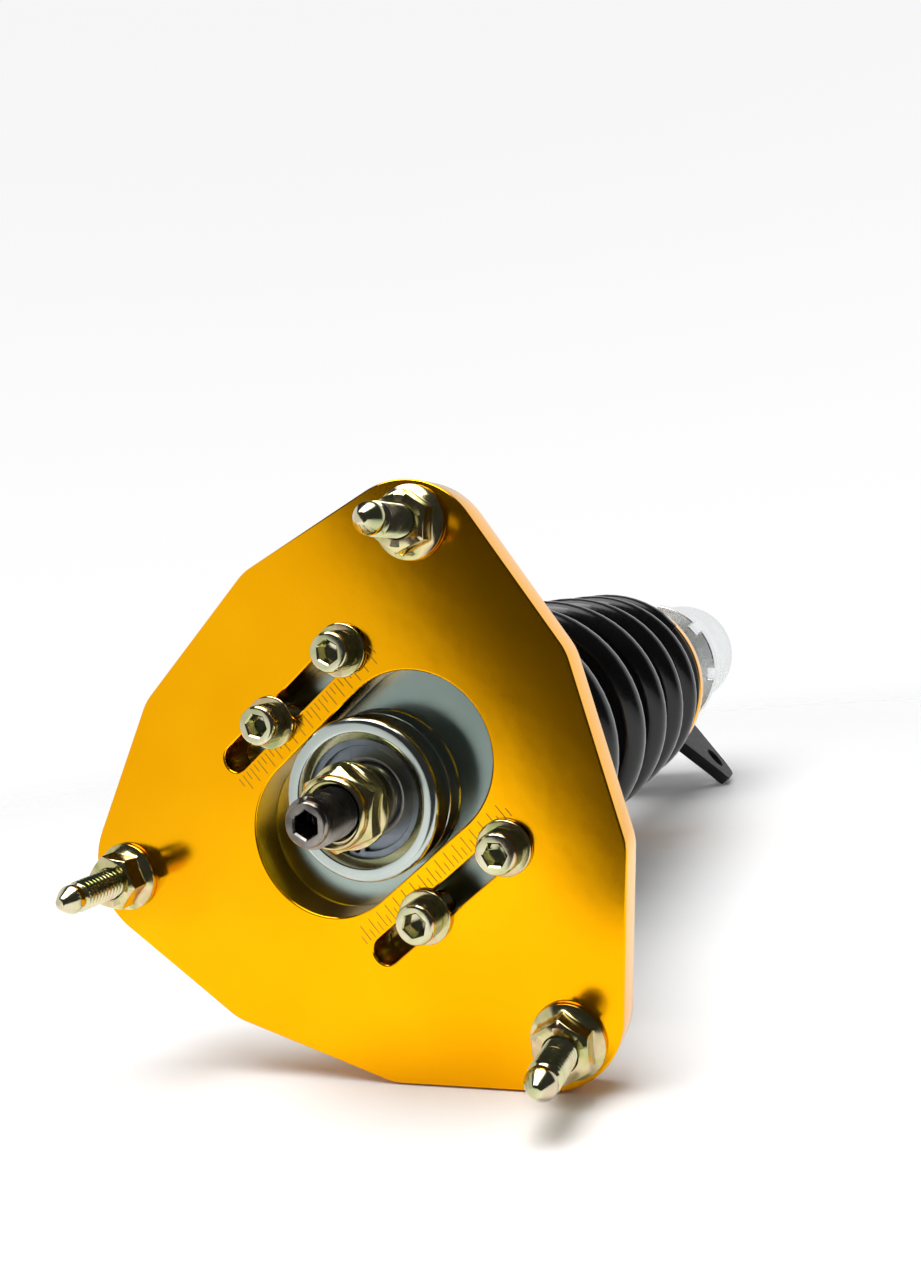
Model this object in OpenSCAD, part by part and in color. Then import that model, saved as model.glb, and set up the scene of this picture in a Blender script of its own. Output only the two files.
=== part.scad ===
// Adjustable MacPherson coilover strut with a three-stud camber plate.
// Upright: +Z runs up the strut, out through the tower. The origin is the centre of the stud
// circle, on the face of the top plate that bolts up against the tower. Millimetres.

/* [Top plate] */
// Radius of the circle through the three tower studs
stud_circle_r = 72; // [70:0.5:76]
// Turn of the first stud from the direction in which the camber slides
stud_clock = 35; // [30:1:40]
// Thickness of the top plate
plate_t = 10; // [9:0.5:12]
// Reach of the plate's three corners from the centre of the stud circle
corner_reach = 82; // [81:0.5:86]
// Radius of the plate's three corners
corner_r = 20.3; // [18:0.1:22]
// Reach of the two blunt points on each side
side_reach = 66.7; // [65:0.1:70]
// Turn of each blunt point from its corner
side_turn = 40; // [38:1:44]
// Distance of the strut's axis from the centre of the stud circle, along the camber
axis_x = 5.4; // [3:0.1:7]
// Distance of the strut's axis from the centre of the stud circle, across the camber
axis_y = 1.1; // [-2:0.1:2]
// Width of the rounded opening for the bearing cup
opening_w = 41.6; // [41:0.1:43]
// Length of that opening
opening_len = 71.8; // [70:0.1:76]
// Width of the camber slots
slot_w = 7; // [6.6:0.1:8]
// Length of the camber slots
slot_len = 52; // [50:1:56]
// Distance of each slot from the middle of the opening
slot_y = 30.6; // [29:0.1:32]

/* [Fasteners] */
// Height of the stud tips above the plate
stud_h = 26.4; // [22:0.1:30]
// Radius of the studs
stud_r = 4; // [4:0.5:5]
// Radius of the flange under each stud nut
nut_flange_r = 8.95; // [8.5:0.05:10]
// Width across the flats of the stud nuts
nut_af = 13; // [12:0.5:14]
// Radius of the camber screws
screw_r = 3; // [2.5:0.5:3]
// Place of the camber screws along the slot, from the strut's axis
screw_x = [-8, 19.2];

/* [Camber carrier and bearing] */
// Thickness of the carrier plate
carrier_t = 8; // [6:0.5:10]
// Half length of the carrier plate, along the camber
carrier_half_x = 44; // [42:1:46]
// Half width of the carrier plate
carrier_half_y = 39; // [37:0.5:40]
// Outer radius of the bearing cup
cup_r = 20; // [19:0.1:20.3]
// Height of the cup's rim above the top plate
cup_h = 5; // [4:0.5:8]
// Radius of the spherical ball
ball_r = 10.5; // [10:0.1:10.6]

/* [Damper] */
// Radius of the piston rod
rod_r = 10; // [9:0.5:10]
// Radius of the threaded top of the rod
rod_neck_r = 6; // [6:0.5:6]
// Height of the rod's tip above the top plate
rod_tip_h = 31; // [29:0.5:34]
// Outer radius of the threaded body
body_r = 26; // [25.5:0.5:26]
// Inner radius of the threaded body
body_bore_r = 22.5; // [22:0.5:22.5]
// Depth of the body's top edge below the top plate
body_top = 190; // [185:1:195]
// Depth of the body's bottom edge
body_bottom = 425; // [420:1:430]

/* [Spring] */
// Radius of the spring wire
wire_r = 6; // [5:0.25:6]
// Radius from the axis to the middle of the wire
coil_r = 37; // [36.5:0.25:38]
// Number of turns from end to end
turns = 6; // [5:0.25:7]
// Depth of the face that the spring's top end bears on
spring_top = 45; // [44:1:46]
// Depth of the face that the spring's bottom end bears on
spring_bottom = 252; // [245:1:255]
// Pitch of the turns near the top
pitch_top = 41; // [30:1:45]
// Pitch of the turns near the bottom
pitch_low = 30; // [25:1:45]

/* [Perch and bracket] */
// Outer radius of the lower perch
perch_r = 41; // [41:0.5:45]
// Outer radius of the lock rings
ring_r = 35; // [33:0.5:37]
// Depth of the bracket sleeve's top edge
sleeve_top = 352; // [350:1:356]
// Depth of the bracket sleeve's bottom edge
sleeve_bottom = 452; // [448:1:456]
// Direction in which the knuckle ears point, from the camber direction
bracket_clock = 180; // [0:1:180]
// Gap between the knuckle ears
ear_gap = 40; // [36:1:44]
// Thickness of each knuckle ear
ear_t = 5; // [4:0.5:6]
// Distance of the knuckle bolts from the strut's axis
bolt_reach = 58; // [54:1:60]
// Depths of the upper and the lower knuckle bolt
bolt_depths = [381, 436];
// Radii of the holes for the upper and the lower knuckle bolt
bolt_hole_r = [7.1, 6.1];
// Distance from the strut's axis to the middle of the drop-link plate
link_tab_x = 21.4; // [20:0.2:24]
// Thickness of the drop-link plate
link_tab_t = 6; // [5:0.5:7]
// Length of the drop-link plate from the side of the ear
link_tab_len = 49; // [40:1:55]

/* [Hidden] */
$fn = 96;

cut = 1;
running = 0.05;
ball_gap = 0.12;

// Top plate
corner_centre = corner_reach - corner_r;
stud_head_r = 7;
stud_head_t = 3.5;
stud_shank_r = stud_r + 0.4;
stud_pitch_r = stud_r - 0.4;
stud_point_h = 5.5;
stud_point_r = 1.4;
nut_flange_t = 1.6;
nut_h = 8;

// Camber screws and washers
washer_r = 6.7;
washer_t = 1.5;
screw_head_r = 5;
screw_head_h = 6;
screw_socket_af = 5;
screw_socket_h = 3;
carrier_corner_r = 12;

// Bearing, top down: cup rim, snap ring, race, lip
cup_chamfer = 2;
cup_mouth_r = 17;
race_r = 14.5;
race_top = 1;
race_bottom = -11.5;
cup_lip_r = 12.5;
cup_bottom = -plate_t - carrier_t;
snap_t = 1.4;
snap_groove_r = 15.5;
snap_bore_r = 12.8;
ball_z = (race_top + race_bottom) / 2;
ball_half = 8;
liner_r = ball_r + 1.1;
liner_half = 5.4;

// Rod stack, top down: nut, spacer, ball, spacer, thrust bearing, seat
ball_top = ball_z + ball_half;
ball_bottom = ball_z - ball_half;
rod_nut_z = 9.5;
rod_nut_flange_r = 10.5;
rod_nut_flange_t = 2;
rod_nut_af = 18;
rod_nut_h = 10.5;
rod_nut_hex_h = 7.5;
rod_nut_collar_r = 8.8;
rod_nut_insert_r = 7.3;
rod_nut_insert_h = 1.6;
spacer_r = 8.6;
spacer_flange_r = 16;
spacer_flange_t = 3;
shoulder_z = -27;
thrust_r = 17;
thrust_washer_t = 1.2;
thrust_needle_r = 1.2;
thrust_needle_count = 18;
cage_top = shoulder_z - thrust_washer_t;
cage_bottom = cage_top - 2 * thrust_needle_r;
seat_top = cage_bottom - thrust_washer_t;

// Rod end and piston
socket_af = 5.5;
socket_h = 8;
adjuster_r = 2.4;
piston_top = -214.2;
piston_h = 18;
rod_shoulder_low = -212;
rod_bottom = -244;
piston_r = body_bore_r - 0.3;
band_r = body_bore_r - running;
band_top = -220;
band_h = 7;
port_circle_r = 14;
shim_t = 0.6;
shim_gap = 0.1;
piston_bottom = piston_top - piston_h;

// Bump stop and boot
bump_top = -48.4;
bump_bottom = -91;
boot_top = -52;
boot_bottom = -212;
boot_in = 26.7;
boot_peak = 30.2;
boot_wall = 1;
boot_folds = 15;

// Spring ends: the wire's middle starts half a wire inside the bearing face
spring_steps = 36;
wire_sides = 10;
spring_end_bite = 3;
closed_turn = 0.9;

// Body internals
gland_top = -184;
gland_skirt = 6;
seal_top = -191;
guide_bottom = -208;
plug_h = 12;
float_top = -372;
float_h = 14;

// Perch and rings
slip_t = 2;
perch_flange_t = 8;
perch_hub_r = 34;
perch_h = 22;
perch_pilot_r = 30.4;
perch_pilot_h = 5;
ring_h = 10;
notch_w = 6;
notch_count = 8;
bracket_wall_r = 30.5;
sleeve_lip_r = 21;
sleeve_lip_h = 4;

// ---------- shared shapes ----------

// Moves a shape from the origin onto the strut's axis
module on_axis() {
    translate([axis_x, axis_y, 0]) children();
}

// A ring about the strut's axis between two heights
module ring(outer, inner, top, bottom) {
    on_axis() translate([0, 0, bottom]) difference() {
        cylinder(r = outer, h = top - bottom);
        translate([0, 0, -cut]) cylinder(r = inner, h = top - bottom + 2 * cut);
    }
}

// A turned part about the strut's axis from its half section
module turned(section) {
    on_axis() rotate_extrude() polygon(section);
}

// A bar with round ends, lying along X
module round_bar(length, width) {
    half = (length - width) / 2;
    square([2 * half, width], center = true);
    for (side = [-1, 1]) translate([side * half, 0]) circle(d = width);
}

// Repeats a shape at the three studs
module at_studs() {
    for (k = [0:2]) rotate(stud_clock + 120 * k) translate([stud_circle_r, 0, 0]) children();
}

// Repeats a shape at the four camber screws
module at_screws() {
    for (x = screw_x, side = [-1, 1]) on_axis() translate([x, side * slot_y, 0]) children();
}

// A hexagonal prism given by its width across the flats
module hex_bar(af, h) {
    cylinder(d = af / cos(30), h = h, $fn = 6);
}

// Spanner notches around a collar
module notches(outer, top, h) {
    on_axis() for (k = [0:notch_count - 1]) rotate(k * 360 / notch_count)
        translate([outer, 0, top - h / 2]) cube([8, notch_w, h + 2 * cut], center = true);
}

// ---------- top plate ----------

function polar(r, a) = [r * cos(a), r * sin(a)];

// Where the straight flank from a blunt point touches its round corner
side_point = polar(side_reach, side_turn) - [corner_centre, 0];
flank_turn = atan2(side_point[1], side_point[0]) - acos(corner_r / norm(side_point));

module plate_outline() {
    flank = [corner_centre, 0] + polar(corner_r, flank_turn);
    flank_reach = norm(flank);
    flank_at = atan2(flank[1], flank[0]);
    polygon([for (k = [0:2], p = [[flank_reach, -flank_at], [flank_reach, flank_at],
        [side_reach, side_turn], [side_reach, 120 - side_turn]])
        polar(p[0], stud_clock + 120 * k + p[1])]);
    for (k = [0:2]) rotate(stud_clock + 120 * k) translate([corner_centre, 0]) circle(r = corner_r);
}

module top_plate() {
    color("goldenrod") difference() {
        translate([0, 0, -plate_t]) linear_extrude(plate_t) plate_outline();
        translate([0, 0, -plate_t - cut]) linear_extrude(plate_t + 2 * cut) {
            translate([axis_x, axis_y]) round_bar(opening_len, opening_w);
            for (side = [-1, 1]) translate([axis_x, axis_y + side * slot_y]) round_bar(slot_len, slot_w);
        }
        at_studs() translate([0, 0, -plate_t - cut]) cylinder(r = stud_shank_r, h = plate_t + 2 * cut);
        at_studs() translate([0, 0, -plate_t - cut]) cylinder(r = stud_head_r, h = stud_head_t + cut);
    }
}

// Pressed into the plate. Under the nut the stud and the nut meet on the thread's pitch circle.
module tower_studs() {
    point_z = stud_h - stud_point_h;
    color("darkkhaki") at_studs() rotate_extrude() polygon([
        [0, -plate_t], [stud_head_r, -plate_t], [stud_head_r, stud_head_t - plate_t],
        [stud_shank_r, stud_head_t - plate_t], [stud_shank_r, 0], [stud_pitch_r, 0],
        [stud_pitch_r, nut_h], [stud_r, nut_h], [stud_r, point_z], [stud_point_r, stud_h], [0, stud_h]
    ]);
}

module tower_nuts() {
    color("darkkhaki") at_studs() difference() {
        union() {
            cylinder(r = nut_flange_r, h = nut_flange_t);
            hex_bar(nut_af, nut_h);
        }
        translate([0, 0, -cut]) cylinder(r = stud_pitch_r, h = nut_h + 2 * cut);
    }
}

// ---------- camber carrier ----------

module carrier_outline() {
    square([2 * carrier_half_x, 2 * (carrier_half_y - carrier_corner_r)], center = true);
    square([2 * (carrier_half_x - carrier_corner_r), 2 * carrier_half_y], center = true);
    for (sx = [-1, 1], sy = [-1, 1])
        translate([sx * (carrier_half_x - carrier_corner_r), sy * (carrier_half_y - carrier_corner_r)])
            circle(r = carrier_corner_r);
}

module camber_carrier() {
    color("lightsteelblue") difference() {
        union() {
            on_axis() translate([0, 0, cup_bottom]) linear_extrude(carrier_t) carrier_outline();
            turned([[0, cup_bottom], [cup_r, cup_bottom], [cup_r, cup_h - cup_chamfer],
                [cup_r - cup_chamfer, cup_h], [0, cup_h]]);
        }
        turned([[0, cup_bottom - cut], [cup_lip_r, cup_bottom - cut], [cup_lip_r, race_bottom],
            [race_r, race_bottom], [race_r, race_top], [snap_groove_r, race_top],
            [snap_groove_r, race_top + snap_t], [race_r, race_top + snap_t],
            [race_r, cup_h - cup_chamfer], [cup_mouth_r, cup_h], [cup_mouth_r, cup_h + cut], [0, cup_h + cut]]);
        at_screws() translate([0, 0, cup_bottom - cut]) cylinder(r = screw_r, h = carrier_t + 2 * cut);
    }
}

module camber_screws() {
    head_top = washer_t + screw_head_h;
    color("darkkhaki") at_screws() difference() {
        union() {
            translate([0, 0, washer_t]) cylinder(r = screw_head_r, h = screw_head_h);
            translate([0, 0, cup_bottom + 0.5]) cylinder(r = screw_r, h = washer_t - cup_bottom - 0.5);
        }
        translate([0, 0, head_top - screw_socket_h]) hex_bar(screw_socket_af, screw_socket_h + cut);
    }
}

module camber_washers() {
    color("darkkhaki") at_screws() difference() {
        cylinder(r = washer_r, h = washer_t);
        translate([0, 0, -cut]) cylinder(r = screw_r, h = washer_t + 2 * cut);
    }
}

module bearing_race() {
    color("dimgray") difference() {
        ring(race_r, 5, race_top, race_bottom);
        on_axis() translate([0, 0, ball_z]) sphere(r = liner_r + ball_gap);
    }
}

module bearing_snap_ring() {
    eye_r = 2.2;
    color("darkslategray") on_axis() translate([0, 0, race_top]) linear_extrude(snap_t) difference() {
        union() {
            difference() {
                circle(r = snap_groove_r);
                circle(r = snap_bore_r);
                rotate(200) translate([snap_bore_r, 0]) square([10, 5], center = true);
            }
            for (turn = [-18, 18]) rotate(200 + turn) translate([snap_bore_r, 0]) circle(r = eye_r);
        }
        for (turn = [-18, 18]) rotate(200 + turn) translate([snap_bore_r, 0]) circle(r = 0.8);
    }
}

module race_liner() {
    color("antiquewhite") on_axis() translate([0, 0, ball_z]) difference() {
        intersection() {
            sphere(r = liner_r);
            cube([4 * liner_r, 4 * liner_r, 2 * liner_half], center = true);
        }
        sphere(r = ball_r + ball_gap);
    }
}

// ---------- piston rod and what it carries ----------

module bearing_ball() {
    color("silver") on_axis() translate([0, 0, ball_z]) difference() {
        intersection() {
            sphere(r = ball_r);
            cube([4 * ball_r, 4 * ball_r, 2 * ball_half], center = true);
        }
        translate([0, 0, -ball_half - cut]) cylinder(r = rod_neck_r, h = 2 * (ball_half + cut));
    }
}

module upper_spacer() {
    color("khaki") ring(spacer_r, rod_neck_r, rod_nut_z, ball_top);
}

module lower_spacer() {
    flange_top = shoulder_z + spacer_flange_t;
    color("khaki") turned([[rod_neck_r, shoulder_z], [spacer_flange_r, shoulder_z],
        [spacer_flange_r, flange_top], [spacer_r, flange_top + 2], [spacer_r, ball_bottom],
        [rod_neck_r, ball_bottom]]);
}

module rod_nut() {
    color("darkkhaki") on_axis() translate([0, 0, rod_nut_z]) difference() {
        union() {
            cylinder(r = rod_nut_flange_r, h = rod_nut_flange_t);
            intersection() {
                hex_bar(rod_nut_af, rod_nut_hex_h);
                rotate_extrude() polygon([[0, 0], [rod_nut_flange_r, 0],
                    [rod_nut_flange_r, rod_nut_hex_h - 1], [rod_nut_af / 2 - 0.4, rod_nut_hex_h], [0, rod_nut_hex_h]]);
            }
            cylinder(r = rod_nut_collar_r, h = rod_nut_h);
        }
        translate([0, 0, -cut]) cylinder(r = rod_neck_r, h = rod_nut_h + 2 * cut);
        translate([0, 0, rod_nut_h - rod_nut_insert_h]) cylinder(r = rod_nut_insert_r, h = rod_nut_insert_h + cut);
    }
}

module piston_rod() {
    tip_chamfer = 1;
    color("gray") difference() {
        turned([[0, rod_bottom], [rod_neck_r, rod_bottom], [rod_neck_r, rod_shoulder_low],
            [rod_r, rod_shoulder_low], [rod_r, shoulder_z], [rod_neck_r, shoulder_z],
            [rod_neck_r, rod_tip_h - tip_chamfer], [rod_neck_r - tip_chamfer, rod_tip_h], [0, rod_tip_h]]);
        on_axis() translate([0, 0, rod_bottom - cut])
            cylinder(r = adjuster_r + running, h = rod_tip_h - rod_bottom);
        on_axis() translate([0, 0, rod_tip_h - socket_h]) hex_bar(socket_af, socket_h + cut);
    }
}

// Hollow rod's inner rod, turned through the socket in the rod's tip
module adjuster_needle() {
    key_af = 3;
    key_h = 4;
    needle_top = rod_tip_h - socket_h;
    color("silver") difference() {
        turned([[0, rod_bottom + 2], [1, rod_bottom + 2], [adjuster_r, rod_bottom + 8],
            [adjuster_r, needle_top], [0, needle_top]]);
        on_axis() translate([0, 0, needle_top - key_h]) hex_bar(key_af, key_h + cut);
    }
}

module upper_thrust_washer() {
    color("silver") ring(thrust_r, rod_r + 0.5, shoulder_z, cage_top);
}

module bump_stop() {
    lobes = 3;
    top_r = 19;
    lobe_h = (bump_top - bump_bottom) / lobes;
    color("lemonchiffon") turned(concat([[rod_r, bump_bottom]], [for (k = [0:lobes - 1]) each [
        [14 + k, bump_bottom + lobe_h * k], [15 + 2 * k, bump_bottom + lobe_h * (k + 0.25)],
        [15 + 2 * k, bump_bottom + lobe_h * (k + 0.7)]]], [[top_r - 3, bump_top], [rod_r, bump_top]]));
}

module damper_piston() {
    ports = 6;
    port_r = 2.2;
    color("silver") difference() {
        turned([[rod_neck_r, piston_bottom], [piston_r, piston_bottom], [piston_r, band_top - band_h],
            [piston_r - 1.5, band_top - band_h], [piston_r - 1.5, band_top], [piston_r, band_top],
            [piston_r, piston_top], [rod_neck_r, piston_top]]);
        on_axis() for (k = [0:ports - 1]) rotate(k * 360 / ports)
            translate([port_circle_r, 0, piston_bottom - cut]) cylinder(r = port_r, h = piston_h + 2 * cut);
    }
}

module piston_band() {
    color("teal") ring(band_r, piston_r - 1.5, band_top, band_top - band_h);
}

module compression_shims() {
    color("lightgray") for (k = [0:2])
        ring(11 + 2.5 * (2 - k), rod_neck_r, rod_shoulder_low - k * (shim_t + shim_gap),
            rod_shoulder_low - k * (shim_t + shim_gap) - shim_t);
}

module rebound_shims() {
    color("lightgray") for (k = [0:2])
        ring(11 + 2.5 * (2 - k), rod_neck_r, piston_bottom - k * (shim_t + shim_gap),
            piston_bottom - k * (shim_t + shim_gap) - shim_t);
}

module piston_nut() {
    nut_top = piston_bottom - 3 * (shim_t + shim_gap);
    piston_nut_h = 8;
    color("silver") on_axis() translate([0, 0, nut_top - piston_nut_h]) difference() {
        hex_bar(19, piston_nut_h);
        translate([0, 0, -cut]) cylinder(r = rod_neck_r, h = piston_nut_h + 2 * cut);
    }
}

// ---------- steering bearing, upper seat, spring and boot ----------

module thrust_needles() {
    needle_len = 4.4;
    color("silver") on_axis() for (k = [0:thrust_needle_count - 1]) rotate(k * 360 / thrust_needle_count)
        translate([thrust_r - 6, 0, cage_top - thrust_needle_r]) rotate([0, 90, 0])
            cylinder(r = thrust_needle_r - running, h = needle_len, $fn = 24);
}

module thrust_cage() {
    cage_t = 1.4;
    pocket_w = 2 * thrust_needle_r + 0.1;
    mid = (cage_top + cage_bottom) / 2;
    color("peru") difference() {
        ring(thrust_r, rod_r + 0.5, mid + cage_t / 2, mid - cage_t / 2);
        on_axis() for (k = [0:thrust_needle_count - 1]) rotate(k * 360 / thrust_needle_count)
            translate([thrust_r - 6.1, -pocket_w / 2, mid - cage_t]) cube([4.6, pocket_w, 2 * cage_t]);
    }
}

module lower_thrust_washer() {
    color("silver") ring(thrust_r, rod_r + 0.5, cage_bottom, seat_top);
}

module upper_spring_seat() {
    bore = rod_r + running;
    flange_r = 42;
    color("goldenrod") turned([[bore, seat_top], [18.5, seat_top], [18.5, -37], [flange_r, -39],
        [flange_r, -spring_top], [perch_pilot_r, -spring_top], [perch_pilot_r, boot_top],
        [26.6, boot_top], [26.6, -60], [23.5, -60], [23.5, -48], [bore, -46]]);
}

// Pitch after u turns: closed at both ends, and closer towards the bottom
function ease(x) = let (t = max(0, min(1, x))) t * t * (3 - 2 * t);
function pitch_at(u) = let (free = pitch_top + (pitch_low - pitch_top) * u / turns)
    2 * wire_r + (free - 2 * wire_r) * ease(u / closed_turn) * ease((turns - u) / closed_turn);
steps = round(turns * spring_steps);
climb = [for (i = 0, z = 0; i <= steps; z = z + pitch_at((i + 0.5) * turns / steps), i = i + 1) z];
span = spring_bottom - spring_top - 2 * spring_end_bite;
function wire_z(i) = -spring_top - spring_end_bite - climb[i] * span / climb[steps];
function wire_point(i, side) = let (a = -i * 360 * turns / steps, b = side * 360 / wire_sides)
    [(coil_r + wire_r * cos(b)) * cos(a), (coil_r + wire_r * cos(b)) * sin(a), wire_z(i) + wire_r * sin(b)];

module spring() {
    n = wire_sides;
    points = [for (i = [0:steps], s = [0:n - 1]) wire_point(i, s)];
    walls = [for (i = [0:steps - 1], s = [0:n - 1]) let (a = i * n + s, b = i * n + (s + 1) % n)
        each [[a, b, b + n], [a, b + n, a + n]]];
    caps = [[for (s = [n - 1:-1:0]) s], [for (s = [0:n - 1]) steps * n + s]];
    color("#1a1a1c") on_axis() intersection() {
        polyhedron(points, concat(walls, caps), convexity = 10);
        translate([0, 0, -spring_bottom]) cylinder(r = perch_r + 5, h = spring_bottom - spring_top);
    }
}

module dust_boot() {
    fold = (-60 - boot_bottom) / boot_folds;
    outside = [for (k = [0:boot_folds - 1]) each [[boot_in + boot_wall, -60 - fold * k],
        [boot_peak, -60 - fold * (k + 0.35)], [boot_peak, -60 - fold * (k + 0.65)]]];
    inside = [for (k = [boot_folds - 1:-1:0]) each [[boot_peak - boot_wall, -60 - fold * (k + 0.6)],
        [boot_peak - boot_wall, -60 - fold * (k + 0.4)], [boot_in, -60 - fold * k]]];
    color("#202024") turned(concat([[boot_in, boot_top], [boot_in + boot_wall, boot_top]], outside,
        [[boot_in + boot_wall, boot_bottom], [boot_in, boot_bottom]], inside));
}

// ---------- damper body ----------

module damper_body() {
    color("silver") ring(body_r, body_bore_r, -body_top, -body_bottom);
}

module gland_nut() {
    skirt = -body_top - gland_skirt;
    color("#303034") turned([[rod_r + 0.6, -188], [14, -188], [14, gland_top], [body_r, gland_top],
        [body_r, -body_top], [body_bore_r, -body_top], [body_bore_r, skirt], [16.5, skirt],
        [16.5, seal_top], [rod_r + 0.6, seal_top]]);
}

module rod_wiper() {
    color("black") ring(14, rod_r + running, gland_top, -188);
}

module rod_seal() {
    color("saddlebrown") ring(16.5, rod_r + running, seal_top, -body_top - gland_skirt);
}

module rod_guide() {
    color("silver") ring(body_bore_r, rod_r + running, -body_top - gland_skirt, guide_bottom);
}

module base_plug() {
    color("silver") ring(body_bore_r, 4, -body_bottom + plug_h, -body_bottom);
}

module gas_valve_screw() {
    head_r = 7;
    head_t = 3;
    color("darkkhaki") difference() {
        turned([[0, -body_bottom - head_t], [head_r, -body_bottom - head_t], [head_r, -body_bottom],
            [4, -body_bottom], [4, -body_bottom + plug_h], [0, -body_bottom + plug_h]]);
        on_axis() translate([0, 0, -body_bottom - head_t - cut]) hex_bar(4, 4 + cut);
    }
}

module floating_piston() {
    groove_top = float_top - 5;
    color("silver") turned([[0, float_top - 4], [16, float_top - 4], [16, float_top],
        [body_bore_r - running, float_top], [body_bore_r - running, groove_top],
        [body_bore_r - 2.5, groove_top], [body_bore_r - 2.5, groove_top - 3.5],
        [body_bore_r - running, groove_top - 3.5], [body_bore_r - running, float_top - float_h],
        [0, float_top - float_h]]);
}

module floating_piston_ring() {
    color("black") on_axis() translate([0, 0, float_top - 6.75]) rotate_extrude()
        translate([body_bore_r - 1.35, 0]) circle(r = 1.15, $fn = 32);
}

// ---------- perch and rings ----------

module spring_slip_washer() {
    color("black") ring(perch_r - 0.5, perch_pilot_r + 0.2, -spring_bottom, -spring_bottom - slip_t);
}

module lower_perch() {
    bore = body_r + running;
    flange_top = -spring_bottom - slip_t;
    flange_bottom = flange_top - perch_flange_t;
    bottom = flange_top - perch_h;
    color("goldenrod") difference() {
        turned([[bore, flange_top + perch_pilot_h], [perch_pilot_r, flange_top + perch_pilot_h],
            [perch_pilot_r, flange_top], [perch_r, flange_top], [perch_r, flange_bottom],
            [perch_hub_r, flange_bottom], [perch_hub_r, bottom], [bore, bottom]]);
        notches(perch_hub_r + 0.5, flange_bottom, perch_h - perch_flange_t);
    }
}

module lock_ring(top) {
    difference() {
        ring(ring_r, body_r + running, top, top - ring_h);
        notches(ring_r + 0.5, top, ring_h);
    }
}

module perch_lock_ring() {
    color("silver") lock_ring(-spring_bottom - slip_t - perch_h);
}

module bracket_lock_ring() {
    color("silver") lock_ring(-sleeve_top + ring_h);
}

// ---------- lower bracket ----------

module in_bracket() {
    on_axis() rotate(bracket_clock) children();
}

module bracket_sleeve() {
    bore = body_r + running;
    color("silver") turned([[bore, -sleeve_top], [bracket_wall_r, -sleeve_top],
        [bracket_wall_r, -sleeve_bottom], [sleeve_lip_r, -sleeve_bottom],
        [sleeve_lip_r, -sleeve_bottom + sleeve_lip_h], [bore, -sleeve_bottom + sleeve_lip_h]]);
}

// Side view of one ear: reach from the strut's axis, and height
module ear_outline() {
    tip_r = 8;
    tip_x = bolt_reach + 16;
    low = -sleeve_bottom + 2;
    polygon([[15, -sleeve_top - 4], [38, -sleeve_top - 4], [tip_x - 6, -bolt_depths[0] + 16],
        [tip_x, -bolt_depths[0] + 8], [tip_x, low + tip_r], [tip_x - tip_r, low], [15, low]]);
    translate([tip_x - tip_r, low + tip_r]) circle(r = tip_r);
}

module knuckle_ears() {
    mid = (ear_gap + ear_t) / 2;
    hole_span = ear_gap + 2 * ear_t + 2 * cut;
    color("#1c1c1e") in_bracket() difference() {
        for (side = [-1, 1]) translate([0, side * mid + ear_t / 2, 0])
            rotate([90, 0, 0]) linear_extrude(ear_t) ear_outline();
        translate([0, 0, -sleeve_bottom - cut])
            cylinder(r = bracket_wall_r, h = sleeve_bottom - sleeve_top + 2 * cut);
        for (k = [0, 1]) translate([bolt_reach, hole_span / 2, -bolt_depths[k]])
            rotate([90, 0, 0]) cylinder(r = bolt_hole_r[k], h = hole_span);
    }
}

// Two flat webs that tie the ears together beside the sleeve
module ear_webs() {
    web_t = 4;
    web_x = 38;
    color("#1c1c1e") in_bracket() for (z = [-sleeve_top - 12, -sleeve_bottom + 8]) difference() {
        translate([20, -ear_gap / 2, z - web_t / 2]) cube([web_x - 20, ear_gap, web_t]);
        translate([0, 0, z - web_t]) cylinder(r = bracket_wall_r, h = 2 * web_t);
    }
}

module brake_hose_tab() {
    tab_t = 3;
    tab_w = 20;
    tab_len = 26;
    tab_z = -390;
    hole_r = 5.2;
    color("#1c1c1e") in_bracket() rotate(-75) difference() {
        union() {
            translate([25, -tab_w / 2, tab_z]) cube([tab_len - 6, tab_w, tab_t]);
            translate([25 + tab_len - 6, 0, tab_z]) cylinder(r = tab_w / 2, h = tab_t);
        }
        translate([0, 0, tab_z - cut]) cylinder(r = bracket_wall_r, h = tab_t + 2 * cut);
        translate([25 + tab_len - 6, 0, tab_z - cut]) cylinder(r = hole_r, h = tab_t + 2 * cut);
    }
}

// Plate on the side of one ear that takes the anti-roll bar's drop link
module link_tab() {
    link_hole_r = 6.1;
    tip_r = 7;
    low = -sleeve_bottom + 27;
    tip_low = -sleeve_bottom + 36;
    tip_high = -sleeve_bottom + 63;
    root_high = -sleeve_bottom + 97;
    color("#1c1c1e") in_bracket() translate([link_tab_x - link_tab_t / 2, ear_gap / 2 + ear_t, 0])
        rotate([90, 0, 90]) linear_extrude(link_tab_t) difference() {
            union() {
                polygon([[0, low], [link_tab_len - tip_r, tip_low], [link_tab_len, tip_low + tip_r],
                    [link_tab_len, tip_high - tip_r], [link_tab_len - tip_r, tip_high], [0, root_high]]);
                for (z = [tip_low + tip_r, tip_high - tip_r]) translate([link_tab_len - tip_r, z]) circle(r = tip_r);
            }
            translate([link_tab_len - 14, (tip_low + tip_high) / 2]) circle(r = link_hole_r);
        }
}

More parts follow.
